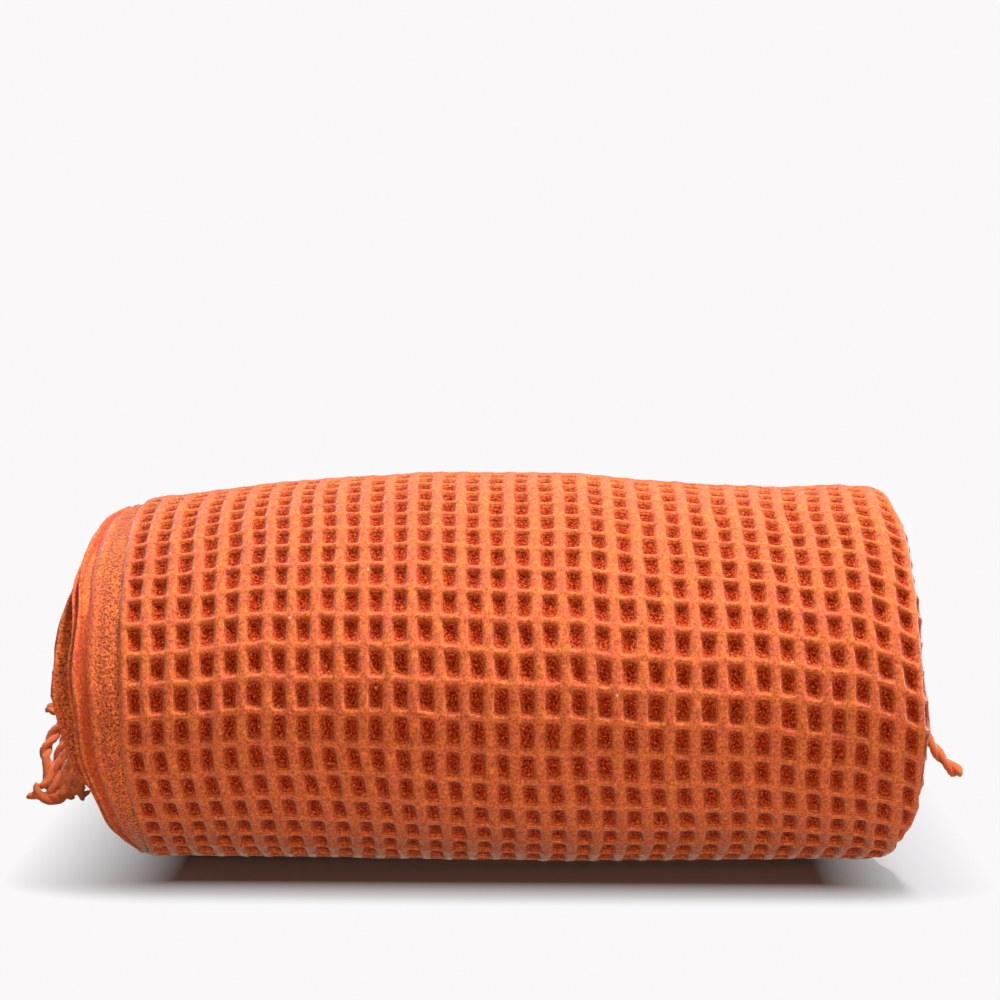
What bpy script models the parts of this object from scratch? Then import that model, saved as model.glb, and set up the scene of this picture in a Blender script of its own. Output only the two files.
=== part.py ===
"""Waffle weave cotton blanket, folded in four across its width and rolled up, with its fringe.

Metres, +Z up. X runs along the roll, -Y is its front, and the origin is the middle of the flat
spot that the roll rests on. The outer end of the cloth, the lap, is low on the back. From there
the cloth is followed up the back, over the top and down the front, and places on it are given
in turns from the lap.
"""
from math import cos, pi, radians, sin

import bmesh
import bpy
from mathutils import Vector

# The cloth
THROW_WIDTH = 1.30              # selvedge to selvedge
FOLDED_LAYERS = 4
LAYER_THICKNESS = 0.003         # over the ridges of the waffle
TURN_THICKNESS = FOLDED_LAYERS * LAYER_THICKNESS
HALF_WIDTH = THROW_WIDTH / FOLDED_LAYERS / 2        # of the folded cloth, so of the roll

# The roll
LAP_RADIUS = 0.0865             # from the roll's axis to the outer face of the cloth at the lap
LAP_ANGLE = radians(76)         # of the lap, from straight down towards the back
BOTTOM_TURNS = (2 * pi - LAP_ANGLE) / (2 * pi)
FLAT_DEPTH = 0.0025             # that the resting cloth is pressed flat by
WOUND_TURNS = 6
STEPS_PER_TURN = 40
MID_STATIONS = 16               # spaces along the roll between its two end bands

# How full the roll is at places along it: the share of the full radius there. Places along the
# roll are shares of half the folded width, from the middle.
BARREL = (
    # along, fullness
    (-1.077, 0.895),
    (-0.935, 0.916),
    (-0.880, 0.934),
    (-0.708, 0.953),
    (-0.585, 0.968),
    (-0.338, 0.988),
    (-0.185, 1.000),
    (0.185, 0.998),
    (0.338, 0.981),
    (0.554, 0.968),
    (0.708, 0.962),
    (0.862, 0.970),
    (0.942, 0.967),
    (1.046, 0.935),
)

# How far the outer turn reaches to each end, in the same shares, at angles from straight down
# towards the back
END_REACH = (
    # degrees, left, right
    (76, 0.948, 0.972),
    (120, 0.960, 0.978),
    (180, 0.966, 0.991),
    (225, 0.978, 1.003),
    (270, 0.991, 1.028),
    (318, 0.911, 1.015),
    (336, 0.917, 0.978),
    (360, 0.911, 0.942),
    (436, 0.948, 0.972),
)

# How far inner turns slide out past the outer one at the left, and sink in at the right
TELESCOPE = (
    # turns, slide
    (0.0, 0.0),
    (0.7, 0.0),
    (1.3, 0.010),
    (1.6, 0.0155),
    (2.0, 0.0165),
    (3.0, 0.017),
    (6.0, 0.018),
)

# The end of each turn: a rounded rib with a groove beside it
RIB_SHOULDER = 0.004            # from the rib's face back to where its rounding starts
RIB_LAND = (0.25, 0.75)         # the flat part of its face, as shares of the turn's thickness
GROOVE_BEHIND = 0.0015          # that the groove lies behind the ribs beside it
LAP_BAND = 0.008                # width of the end band where it starts at the lap
CORE_SINK = 0.002

# The fringe: one comb of tassels along the lap
TASSEL_THICKNESS = 0.0045
TASSEL_WIDTH = 0.005
TASSEL_COUNT = 25
HEADING_LENGTH = 0.004          # the strip that joins the tassels to the lap
LAP_CLEARANCE = 0.0006
FRINGE_INSET = 0.003            # from the corners of the lap to the first tassels

# Places down one tassel, from the lap to its tip: a middle one falls to the ground and lies
# back on it, and those at the two corners stand out sideways first
TASSEL_FALL = (
    # back, height
    (0.0785, 0.0460),
    (0.0770, 0.0300),
    (0.0780, 0.0160),
    (0.0830, 0.0060),
    (0.0930, 0.0030),
    (0.1060, 0.0029),
)
LEFT_CORNER_FALL = (
    # sideways, back, height
    (0.0110, 0.0770, 0.0450),
    (0.0270, 0.0770, 0.0400),
    (0.0430, 0.0745, 0.0290),
    (0.0520, 0.0670, 0.0170),
    (0.0570, 0.0630, 0.0075),
    (0.0650, 0.0640, 0.0042),
)
RIGHT_CORNER_FALL = (
    # sideways, back, height
    (0.0100, 0.0820, 0.0530),
    (0.0210, 0.0820, 0.0460),
    (0.0320, 0.0820, 0.0350),
    (0.0400, 0.0810, 0.0240),
    (0.0460, 0.0800, 0.0150),
    (0.0500, 0.0790, 0.0090),
)
LEFT_CORNER_SHARES = (1.0, 0.72, 0.35)      # of the corner's fall, for the tassels nearest it
RIGHT_CORNER_SHARES = (1.0, 0.3)

BURNT_ORANGE = (0.62, 0.13, 0.03, 1.0)
CORD_ORANGE = (0.66, 0.15, 0.04, 1.0)
COTTON_ROUGHNESS = 0.9


def clear_scene():
    for thing in list(bpy.data.objects):
        bpy.data.objects.remove(thing, do_unlink=True)


def lerp(start, end, share):
    return start + (end - start) * share


def read_table(table, key, column=1):
    """The value in a column of a table at a key between its rows."""
    if key <= table[0][0]:
        return table[0][column]
    for row, following in zip(table, table[1:]):
        if key <= following[0]:
            return lerp(row[column], following[column], (key - row[0]) / (following[0] - row[0]))
    return table[-1][column]


def end_edge(side, turns):
    """Place along the roll of one end of the cloth; side is -1 at the left and 1 at the right."""
    first_angle = END_REACH[0][0]
    angle = first_angle + (turns % 1) * 360
    reach = HALF_WIDTH * read_table(END_REACH, angle, 1 if side < 0 else 2)
    return side * reach - read_table(TELESCOPE, turns)


def fullness(along):
    return read_table(BARREL, along / HALF_WIDTH)


def axis_height(along):
    """Height of the roll's axis, which sags so that the whole roll rests on the ground."""
    return (LAP_RADIUS - TURN_THICKNESS * BOTTOM_TURNS) * fullness(along) - FLAT_DEPTH


def roll_point(along, turns, inset=0.0):
    """A point of the wound cloth, that far under its outer face."""
    radius = (LAP_RADIUS - TURN_THICKNESS * turns) * fullness(along) - inset
    angle = LAP_ANGLE + 2 * pi * turns
    height = axis_height(along) - radius * cos(angle)
    return Vector((along, radius * sin(angle), max(height, 0.0)))


def groove_along(side, turns):
    """Place along the roll of the groove between a turn's end and the end of the turn outside it."""
    outside = side * end_edge(side, turns - 1)
    inside = side * end_edge(side, turns) - RIB_SHOULDER
    return side * (min(outside, inside) - GROOVE_BEHIND)


def band_along(side, turns):
    """Place along the roll, on the outer turn, where its end band starts."""
    last_width = side * (end_edge(side, 1) - groove_along(side, 1))
    return end_edge(side, turns) - side * lerp(LAP_BAND, last_width, turns)


def add_strip(mesh, first, second):
    """Quads between two lists of corners of one length."""
    for index in range(len(first) - 1):
        mesh.faces.new((first[index], first[index + 1], second[index + 1], second[index]))


def add_roll_end(mesh, side, shoulders, grooves):
    """The spiral of ribs at one end. It returns the corners of its first rib, at the lap."""
    steps = WOUND_TURNS * STEPS_PER_TURN
    lands = []
    for land in RIB_LAND:
        line = []
        for step in range(steps + 1):
            turns = step / STEPS_PER_TURN
            line.append(mesh.verts.new(
                roll_point(end_edge(side, turns), turns, land * TURN_THICKNESS)))
        lands.append(line)
    outer_land, inner_land = lands
    for step in range(STEPS_PER_TURN + 1, steps + 1):
        turns = step / STEPS_PER_TURN
        shoulders.append(mesh.verts.new(
            roll_point(end_edge(side, turns) - side * RIB_SHOULDER, turns)))
        grooves.append(mesh.verts.new(roll_point(groove_along(side, turns), turns)))
    add_strip(mesh, shoulders, outer_land)
    add_strip(mesh, outer_land, inner_land)
    add_strip(mesh, inner_land[:len(grooves)], grooves)
    add_strip(mesh, grooves, shoulders[STEPS_PER_TURN:])
    core_along = end_edge(side, WOUND_TURNS) - side * CORE_SINK
    core = mesh.verts.new((core_along, 0, axis_height(core_along)))
    rim = [grooves[-1], shoulders[-1], outer_land[-1]]
    rim += list(reversed(inner_land[-STEPS_PER_TURN - 1:]))
    for index, corner in enumerate(rim):
        mesh.faces.new((core, corner, rim[(index + 1) % len(rim)]))
    return outer_land[0], inner_land[0]


def build_roll():
    """The wound cloth: its outer turn, the step at the lap, and a spiral of ribs at each end."""
    mesh = bmesh.new()
    columns = []
    for step in range(STEPS_PER_TURN + 1):
        turns = step / STEPS_PER_TURN
        left_band, right_band = band_along(-1, turns), band_along(1, turns)
        places = [end_edge(-1, turns) + RIB_SHOULDER]
        places += [lerp(left_band, right_band, station / MID_STATIONS)
                   for station in range(MID_STATIONS + 1)]
        places.append(end_edge(1, turns) - RIB_SHOULDER)
        columns.append([mesh.verts.new(roll_point(along, turns)) for along in places])
    for column, following in zip(columns, columns[1:]):
        add_strip(mesh, column, following)
    lap, under_lap = columns[0], columns[-1]
    add_strip(mesh, lap[1:-1], under_lap[1:-1])
    for side, end, band in ((-1, 0, 1), (1, -1, -2)):
        shoulders = [column[end] for column in columns]
        outer_land, inner_land = add_roll_end(mesh, side, shoulders, [under_lap[band]])
        mesh.faces.new((lap[end], lap[band], under_lap[band], inner_land, outer_land))
    bmesh.ops.recalc_face_normals(mesh, faces=mesh.faces)
    return finish_object("blanket_roll", mesh, BURNT_ORANGE)


def tassel_line(index):
    """The middle line of one tassel of the comb, from the lap to its tip."""
    left = end_edge(-1, 0) + FRINGE_INSET
    right = end_edge(1, 0) - FRINGE_INSET
    along = lerp(left, right, index / (TASSEL_COUNT - 1))
    root = roll_point(along, 0, TURN_THICKNESS / 2)
    downwards = Vector((0, -cos(LAP_ANGLE), -sin(LAP_ANGLE)))
    line = [root + downwards * LAP_CLEARANCE,
            root + downwards * (LAP_CLEARANCE + HEADING_LENGTH)]
    from_right = TASSEL_COUNT - 1 - index
    share, corner_fall, side = 0.0, LEFT_CORNER_FALL, -1
    if index < len(LEFT_CORNER_SHARES):
        share = LEFT_CORNER_SHARES[index]
    elif from_right < len(RIGHT_CORNER_SHARES):
        share, corner_fall, side = RIGHT_CORNER_SHARES[from_right], RIGHT_CORNER_FALL, 1
    for (back, height), (sideways, corner_back, corner_height) in zip(TASSEL_FALL, corner_fall):
        line.append(Vector((along + side * share * sideways,
                            lerp(back, corner_back, share),
                            lerp(height, corner_height, share))))
    return line


def tassel_edges(line):
    """The two edges of a tassel's flat strip, beside its middle line."""
    edges = ([], [])
    for place, point in enumerate(line):
        before, after = line[max(place - 1, 0)], line[min(place + 1, len(line) - 1)]
        downwards = (after - before).normalized()
        across = Vector((1, 0, 0))
        if place > 1:
            across = (across - downwards * downwards.x).normalized()
        edges[0].append(point - across * TASSEL_WIDTH / 2)
        edges[1].append(point + across * TASSEL_WIDTH / 2)
    return edges


def build_fringe():
    """The comb: a strip along the lap and its tassels, as one sheet given its thickness."""
    mesh = bmesh.new()
    previous = None
    for index in range(TASSEL_COUNT):
        left_edge, right_edge = tassel_edges(tassel_line(index))
        left = [mesh.verts.new(point) for point in left_edge]
        right = [mesh.verts.new(point) for point in right_edge]
        add_strip(mesh, left, right)
        if previous:
            add_strip(mesh, previous[:2], left[:2])
        previous = right
    bmesh.ops.recalc_face_normals(mesh, faces=mesh.faces)
    fringe = finish_object("edge_fringe", mesh, CORD_ORANGE)
    thicken = fringe.modifiers.new("tassel thickness", "SOLIDIFY")
    thicken.thickness = TASSEL_THICKNESS
    thicken.offset = 0.0
    thicken.use_even_offset = False
    return fringe


def finish_object(name, mesh, colour):
    """An object of that mesh, smooth between its hard edges, with its own cotton finish."""
    data = bpy.data.meshes.new(name)
    mesh.to_mesh(data)
    mesh.free()
    data.shade_smooth()
    data.set_sharp_from_angle(angle=radians(40))
    cotton = bpy.data.materials.new(name + "_cotton")
    cotton.use_nodes = True
    shader = cotton.node_tree.nodes["Principled BSDF"]
    shader.inputs["Base Color"].default_value = colour
    shader.inputs["Roughness"].default_value = COTTON_ROUGHNESS
    shader.inputs["Metallic"].default_value = 0.0
    data.materials.append(cotton)
    return bpy.data.objects.new(name, data)


def main():
    clear_scene()
    blanket = bpy.data.collections.new("waffle_weave_cotton_blanket")
    bpy.context.scene.collection.children.link(blanket)
    for build in (build_roll, build_fringe):
        blanket.objects.link(build())


main()
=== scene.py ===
"""Looks of the rolled waffle weave cotton throw: its cloth with real relief, its plain hem, its
folded inner turns and its twisted fringe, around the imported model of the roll.

Metres, +Z up, X along the roll, -Y its front. Places on the cloth are given in turns from the lap,
which is low on the back: up the back, over the top and down the front. The cloth is folded in
four across its width. Across it, places are given in columns of waffle cells; the folded cloth
has its selvedges at the left and its outer fold at the right. Depth is how far a place lies
under the outer face of its turn.
"""
from math import cos, pi, radians, sin

import bpy
import numpy as np
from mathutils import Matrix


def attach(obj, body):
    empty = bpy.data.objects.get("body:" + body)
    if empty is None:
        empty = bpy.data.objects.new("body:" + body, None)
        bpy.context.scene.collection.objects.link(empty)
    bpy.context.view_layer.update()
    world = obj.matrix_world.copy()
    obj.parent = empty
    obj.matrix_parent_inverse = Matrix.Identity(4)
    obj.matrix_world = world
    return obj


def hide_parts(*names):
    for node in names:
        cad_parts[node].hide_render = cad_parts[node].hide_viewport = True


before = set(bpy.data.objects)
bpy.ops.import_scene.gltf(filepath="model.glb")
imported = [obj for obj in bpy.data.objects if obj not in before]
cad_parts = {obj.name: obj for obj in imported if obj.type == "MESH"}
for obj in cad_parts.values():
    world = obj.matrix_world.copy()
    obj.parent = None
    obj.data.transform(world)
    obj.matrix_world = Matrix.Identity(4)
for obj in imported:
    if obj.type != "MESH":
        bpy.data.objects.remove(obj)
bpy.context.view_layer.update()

bl_info = {
    "name": "Rolled Waffle Throw",
    "version": (1, 0, 0),
    "blender": (4, 5, 0),
    "location": "View3D > Sidebar > Waffle throw",
    "description": "Models a rolled waffle weave cotton throw with its hem and twisted fringe",
    "category": "Add Mesh",
}

# The roll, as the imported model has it
THROW_WIDTH = 1.30
HALF_WIDTH = THROW_WIDTH / 8        # half of the folded cloth's width
TURN_THICKNESS = 0.012
LAP_RADIUS = 0.0865
LAP_ANGLE = radians(76)
BOTTOM_TURNS = (2 * pi - LAP_ANGLE) / (2 * pi)
FLAT_DEPTH = 0.0025
WOUND_TURNS = 6.2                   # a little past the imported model's six, to close the core

# Fullness of the roll at places along it, in shares of half the folded width
BARREL = (
    # along, fullness
    (-1.077, 0.895), (-0.935, 0.916), (-0.880, 0.934), (-0.708, 0.953), (-0.585, 0.968),
    (-0.338, 0.988), (-0.185, 1.000), (0.185, 0.998), (0.338, 0.981), (0.554, 0.968),
    (0.708, 0.962), (0.862, 0.970), (0.942, 0.967), (1.046, 0.935),
)
# How far a turn reaches to each end, at angles from straight down towards the back
END_REACH = (
    # degrees, left, right
    (76, 0.948, 0.972), (120, 0.956, 0.978), (180, 0.972, 0.991), (200, 0.996, 0.996),
    (225, 1.013, 1.003), (257, 1.006, 1.022), (272, 0.991, 1.028), (294, 0.969, 1.022),
    (312, 0.942, 1.016), (326, 0.914, 1.000), (336, 0.899, 0.978), (360, 0.905, 0.942),
    (436, 0.948, 0.972),
)
# How far inner turns slide out at the left
TELESCOPE = (
    # turns, slide
    (0.0, 0.0), (1.0, 0.001), (1.25, 0.005), (1.42, 0.0078), (1.47, 0.0100), (1.55, 0.0114),
    (1.60, 0.0106), (1.63, 0.0060), (1.70, 0.0030), (1.85, 0.0040), (2.0, 0.0080),
    (2.4, 0.0115), (2.6, 0.0118), (2.8, 0.0110), (3.2, 0.0130), (6.2, 0.0160),
)
JOIN_TURNS = 1.04               # where the outer turn's piece ends, under the lap

# The weave's cells
COLUMN_WIDTH = 0.0096
ROW_HEIGHT = 0.0125             # of a row of cells in the pattern map
FIRST_COLUMN = -15.5            # the ridge beside the left hem
LAST_COLUMN = 19.0              # inside the outer fold, past its back
COLUMN_PLACES = (
    # column, place along the roll with the outer fold laid flat
    (-15.5, -0.1443), (-14, -0.1305), (-10, -0.0926), (-5, -0.0462), (0, 0.0014),
    (5, 0.0511), (10, 0.1016), (14, 0.1387), (15, 0.1477), (16, 0.1582), (17, 0.1668),
    (20, 0.1950),
)
COLUMN_LEAN = (
    # turns, slide along the roll
    (0.0, -0.001), (0.33, -0.003), (0.50, 0.0), (0.58, 0.0005), (0.61, 0.002), (0.66, 0.0035),
    (0.80, 0.002), (1.04, 0.0),
)
ROW_PITCH = (
    # turns, height of a row of cells
    (0.0, 0.0122), (0.15, 0.0115), (0.24, 0.0096), (0.31, 0.0080), (0.36, 0.0081),
    (0.40, 0.0094), (0.44, 0.0110), (0.49, 0.0128), (0.54, 0.0134), (0.59, 0.0132),
    (0.64, 0.0122), (0.75, 0.0118), (0.85, 0.0122), (6.5, 0.0122),
)
FRONT_ROW_TURNS = 0.503         # a row's middle is here, at the middle of the roll
ROW_SKEW = (
    # place along the roll, how far rows have slipped round it
    (-0.160, -0.0035), (-0.130, -0.0035), (-0.093, -0.0048), (-0.046, -0.0028), (0.0, 0.0),
    (0.051, 0.0008), (0.101, 0.0012), (0.139, 0.0065), (0.163, 0.0150),
)
SKEW_FADE = (
    # turns, share of the skew
    (0.0, 0.0), (0.18, 1.0), (0.85, 1.0), (1.04, 0.0),
)
HEADING_LENGTH = 0.009          # plain weave between the lap and the first row
ROW_SAMPLES = 12201             # places along the cloth at which rows are counted

# Lines of the mesh across one cell, from the middle of one ridge to the middle of the next, and
# how high each kind of ridge stands at its distance from its middle, in shares of a cell
COLUMN_LINES = (0.0, 0.11, 0.19, 0.29, 0.50, 0.71, 0.81, 0.89)
ROW_LINES = (0.0, 0.075, 0.145, 0.30, 0.70, 0.855, 0.925)
INNER_ROW_LINES = (0.0, 0.10, 0.30, 0.70, 0.90)
ROUND_RIDGE = ((0.0, 1.0), (0.11, 0.96), (0.19, 0.78), (0.29, 0.24), (0.50, 0.0))
CROSS_RIDGE = ((0.0, 0.93), (0.075, 0.82), (0.145, 0.36), (0.30, 0.04), (0.50, 0.0))
PLAIN_RELIEF = 0.8              # of plain weave, which has no ridges and no pits

# The hem: from the first ridge to the edge
HEM_WIDTH = 0.0165
HEM_PROFILE = (
    # from the first ridge, depth under the ridges
    (0.0, 0.0), (0.0006, 0.0010), (0.0014, 0.0020), (0.0026, 0.0014), (0.0052, 0.0012),
    (0.0078, 0.0013), (0.0088, 0.0014), (0.0098, 0.0008), (0.0110, 0.0010), (0.0122, 0.0019),
    (0.0145, 0.0026), (0.0158, 0.0019), (0.0165, 0.0012),
)
HEM_HALF_THICKNESS = 0.0010
HEM_RETURN = 0.010

# Depths of the folded layers
OUTER_FOLD_RADIUS = 0.0058
OUTER_FOLD_COLUMN = 16.6        # the outer fold starts here in the inner turns
FOLD_COLUMN_WIDTH = 0.0094      # the cells lie a little closer round a fold
SECOND_HEM_DEPTH = 0.0038
SECOND_HEM_HALF_THICKNESS = 0.0009
SECOND_HEM_SLIDE = (
    # turns, how far the second selvedge shows past the first
    (0.0, 0.0010), (0.3, 0.0024), (0.8, 0.0024), (1.0, 0.0010), (6.0, 0.0006),
)
INNER_HEM_SHARE = 0.56
LEFT_FOLD_RADIUS = 0.0028
LEFT_FOLD_DEPTH = 0.0116
LEFT_FOLD_COLUMNS = (49.5, 52.0)
LEFT_FOLD_START = 50.3
LEFT_FOLD_SLIDE = 0.0022        # how far the left fold shows past the hem's edge
LEFT_FOLD_RELIEF = 0.42         # share of the pits' depth there, where the cloth is pressed
INNER_FOLD_RADIUS = 0.0010
INNER_FOLD_DEPTH = 0.0076
INNER_FOLD_BACK = 0.0080        # the inner fold lies behind the outer one
INNER_FOLD_COLUMN = 80.0
HIDDEN_STATIONS = 5
HIDDEN_RUNS = (
    # column in the pattern map, depth at its start, depth at its end, for each of four layers
    (0.0, 0.0012, 0.0012), (30.0, LEFT_FOLD_DEPTH, LEFT_FOLD_DEPTH),
    (64.0, 0.0064, INNER_FOLD_DEPTH), (100.0, 0.0056, 0.0056),
)
RIGHT_RUN_INSET = 0.016         # from the right end to the hidden runs of layers one and two
LEFT_RUN_INSETS = (0.008, 0.010, 0.030)     # from the left to those of layers two, three and four
HIDDEN_SPACING = 0.02           # stations further apart than this are hidden
SHARED_FOLD_LINES = 5           # lines of the outer fold that the outer turn's piece overlaps

# How uneven the cloth is: from cell to cell and, where there are two, over a few cells
COLUMN_SLIP = (0.0005, 0.0009)
ROW_SLIP = 0.0006
PIT_VARIATION = 0.22
SWELL = (0.0003, 0.0009)
INNER_SWELL = 0.00025
NOISE_SIZE = (64, 256)
NOISE_START = (32.37, 64.71)
STEADY_ENDS = 0.05              # turns at the lap and at the join over which it fades
OUTER_INSET, INNER_INSET = 0.0002, 0.0003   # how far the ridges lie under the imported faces

SEED = 31


def read_table(table, key, column=1):
    """The value in a column of a table at keys between its rows."""
    rows = np.array(table)
    return np.interp(key, rows[:, 0], rows[:, column])


def end_edge(side, turns):
    """Place along the roll of one end of the cloth; side is -1 at the left and 1 at the right."""
    turns = np.asarray(turns, dtype=float)
    angle = 76 + (turns % 1) * 360
    reach = HALF_WIDTH * read_table(END_REACH, angle, 1 if side < 0 else 2)
    ripple = 0.0005 * np.sin(2 * pi * 5.3 * turns + side) + 0.0004 * np.sin(2 * pi * 11.7 * turns)
    return side * reach - read_table(TELESCOPE, turns) + ripple


def roll_points(along, turns, depth):
    """Points of the wound cloth, that far under its outer face."""
    fullness = read_table(BARREL, along / HALF_WIDTH)
    axis_height = (LAP_RADIUS - TURN_THICKNESS * BOTTOM_TURNS) * fullness - FLAT_DEPTH
    radius = (LAP_RADIUS - TURN_THICKNESS * turns) * fullness
    angle = LAP_ANGLE + 2 * pi * turns
    height = np.maximum(axis_height - radius * np.cos(angle), 0) + depth * np.cos(angle)
    return np.stack([along + 0 * angle, (radius - depth) * np.sin(angle),
                     np.maximum(height, 0)], axis=-1)


def length_at(turns):
    """Length of cloth from the lap to a place on the outer face."""
    return 2 * pi * (LAP_RADIUS * turns - TURN_THICKNESS * turns ** 2 / 2)


def row_table():
    """Turns, lengths of cloth and row numbers, from before the lap to the core."""
    turns = np.linspace(-0.05, WOUND_TURNS + 0.05, ROW_SAMPLES)
    length = length_at(turns)
    pitch = read_table(ROW_PITCH, turns)
    step = np.diff(length) / ((pitch[1:] + pitch[:-1]) / 2)
    rows = np.concatenate([[0.0], np.cumsum(step)])
    return turns, length, rows - np.interp(FRONT_ROW_TURNS, turns, rows)


ROW_TURNS, ROW_LENGTHS, ROW_NUMBERS = row_table()


def next_ridge(row):
    return np.ceil(row - 0.5) + 0.5


FIRST_ROW = next_ridge(np.interp(HEADING_LENGTH, ROW_LENGTHS, ROW_NUMBERS))
JOIN_ROW = next_ridge(np.interp(JOIN_TURNS, ROW_TURNS, ROW_NUMBERS))


def cell_noise(seed, across, around, scale=1.0):
    """Smooth noise between -1 and 1, with a new value at each cell."""
    values = np.random.default_rng(seed).uniform(-1, 1, NOISE_SIZE)
    across, around = across * scale + NOISE_START[0], around * scale + NOISE_START[1]
    column, row = np.floor(across).astype(int), np.floor(around).astype(int)
    right, up = across - column, around - row
    right, up = right * right * (3 - 2 * right), up * up * (3 - 2 * up)

    def line(place):
        first, second = (values[(column + step) % NOISE_SIZE[0], place % NOISE_SIZE[1]]
                         for step in (0, 1))
        return first * (1 - right) + second * right

    return line(row) * (1 - up) + line(row + 1) * up


def ridge_height(profile, place):
    """Height of a kind of ridge at places in cells, with its ridges at the halves."""
    return read_table(profile, np.abs(place % 1 - 0.5))


def relief_height(column, row):
    """1 on the ridges and 0 on the floors of the pits."""
    over = 1 - ridge_height(ROUND_RIDGE, column)
    return 1 - over * (1 - ridge_height(CROSS_RIDGE, row))


def cell_lines(first, last, lines):
    """Places of the mesh's lines from one place to another, in cells, with ridges at halves."""
    start = np.floor(first - 0.5) + 0.5
    cells = np.arange(start, last + 1)
    places = (cells[:, None] + np.array(lines)[None, :]).ravel()
    return places[(places > first - 1e-6) & (places < last + 1e-6)]


def fold(side, past, radius, depth):
    """Reach, depth and lean of a fold of the cloth, at lengths past its start. It goes round
    and runs back: deeper at the right, where side is 1, and less deep at the left, at -1."""
    angle = np.clip(past / radius, 0, pi)
    reach = np.minimum(past, 0) + radius * np.sin(angle) - np.maximum(past - pi * radius, 0)
    return (side * reach, depth + side * radius * (1 - np.cos(angle)),
            -side * np.sin(angle), side * np.cos(angle))


def add_piece(mesh, material):
    mesh.shade_smooth()
    mesh.materials.append(material)
    piece = bpy.data.objects.new(mesh.name, mesh)
    bpy.context.scene.collection.objects.link(piece)
    return piece


def make_grid(name, points, column, row, relief, material, kept=slice(None)):
    """A sheet through a grid of points, with its pattern and bake maps and its relief."""
    pattern = np.stack([column * COLUMN_WIDTH, row * ROW_HEIGHT], axis=-1)
    across, around = points.shape[:2]
    index = np.arange(across * around).reshape(across, around)
    quads = np.stack([index[:-1, :-1], index[:-1, 1:], index[1:, 1:], index[1:, :-1]], axis=-1)
    quads = quads[kept].reshape(-1, 4)
    used = np.unique(quads)
    new_index = np.zeros(across * around, dtype=int)
    new_index[used] = np.arange(len(used))
    quads = new_index[quads]
    mesh = bpy.data.meshes.new(name)
    mesh.from_pydata(points.reshape(-1, 3)[used].tolist(), [], quads.tolist())
    for map_name, values in (("cloth_uv", pattern), ("OFBake", bake_places(points))):
        corners = values.reshape(-1, 2)[used][quads.ravel()]
        mesh.uv_layers.new(name=map_name).data.foreach_set("uv", corners.ravel())
    height = mesh.attributes.new("relief", "FLOAT", "POINT")
    height.data.foreach_set("value", relief.reshape(-1)[used])
    return add_piece(mesh, material)


def bake_places(points, gap=0.01):
    """Even places of the grid's lines in the bake map, where hidden runs take little room."""
    weights = np.linalg.norm(np.diff(points[:, points.shape[1] // 2], axis=0), axis=1)
    weights = np.where(weights > HIDDEN_SPACING, weights * 0.1, weights)
    across = np.concatenate([[0.0], np.cumsum(weights)])
    middle = points[points.shape[0] // 2]
    around = np.concatenate([[0.0], np.cumsum(np.linalg.norm(np.diff(middle, axis=0), axis=1))])
    around = around + np.arange(len(around)) * 1e-6
    u = gap + (1 - 2 * gap) * across / across[-1]
    v = gap + (1 - 2 * gap) * around / around[-1]
    return np.stack(np.broadcast_arrays(u[:, None], v[None, :]), axis=-1)


def lap_rows():
    """The rounded end of the cloth at the lap and its heading: lengths from the lap, tuck
    under the face, and depth under the ridges."""
    first = float(np.interp(FIRST_ROW, ROW_NUMBERS, ROW_LENGTHS))
    return ((0.010, 0.0022, 0.0008), (0.0008, 0.0022, 0.0008), (-0.0006, 0.0016, 0.0008),
            (-0.0006, 0.0006, 0.0008), (0.0006, 0.0, 0.0009), (0.3 * first, 0.0, 0.0010),
            (0.6 * first, 0.0, 0.0012), (0.9 * first, 0.0, 0.0016))


def cloth_rows(last_row, lines):
    """Rows of the mesh from the lap: row numbers, lengths, tucks, insets and heading flags."""
    heading = np.array(lap_rows())
    places = cell_lines(FIRST_ROW, last_row, lines)
    weave = np.zeros(len(places))
    return tuple(np.concatenate(pair) for pair in (
        (np.interp(heading[:, 0], ROW_LENGTHS, ROW_NUMBERS), places),
        (heading[:, 0], np.interp(places, ROW_NUMBERS, ROW_LENGTHS)),
        (heading[:, 1], weave), (heading[:, 2], weave), (np.ones(len(heading)), weave)))


def hem_run(turns, first_ridge, edge_shift, depth, half_thickness, weave_share=1.0):
    """The hem from inside its return, round its edge and to the first ridge: one station of
    (along, depth, lean inwards along, lean inwards deep, column) for each line. A hem under
    another one is flatter. The weave share is how much of the hem's pattern shows."""
    on_top = depth == 0
    flat = end_edge(-1, turns) + edge_shift + half_thickness
    centre = (HEM_PROFILE[-1][1] if on_top else depth) + half_thickness
    out = FIRST_COLUMN - HEM_WIDTH * weave_share / COLUMN_WIDTH
    stations = [(flat + HEM_RETURN, centre + half_thickness, 0, -1,
                 out - HEM_RETURN / COLUMN_WIDTH)]
    for angle in (-90, -45, 0, 45):
        turn = radians(angle)
        stations.append((flat - half_thickness * cos(turn), centre - half_thickness * sin(turn),
                         cos(turn), sin(turn),
                         out - half_thickness * radians(90 - angle) / COLUMN_WIDTH / 2))
    for place, low in reversed(HEM_PROFILE):
        level = low if on_top else depth + low * 0.5
        stations.append((first_ridge + (flat - first_ridge) * (place / HEM_WIDTH), level, 0, 1,
                         FIRST_COLUMN - place * weave_share / COLUMN_WIDTH))
    return stations


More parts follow.
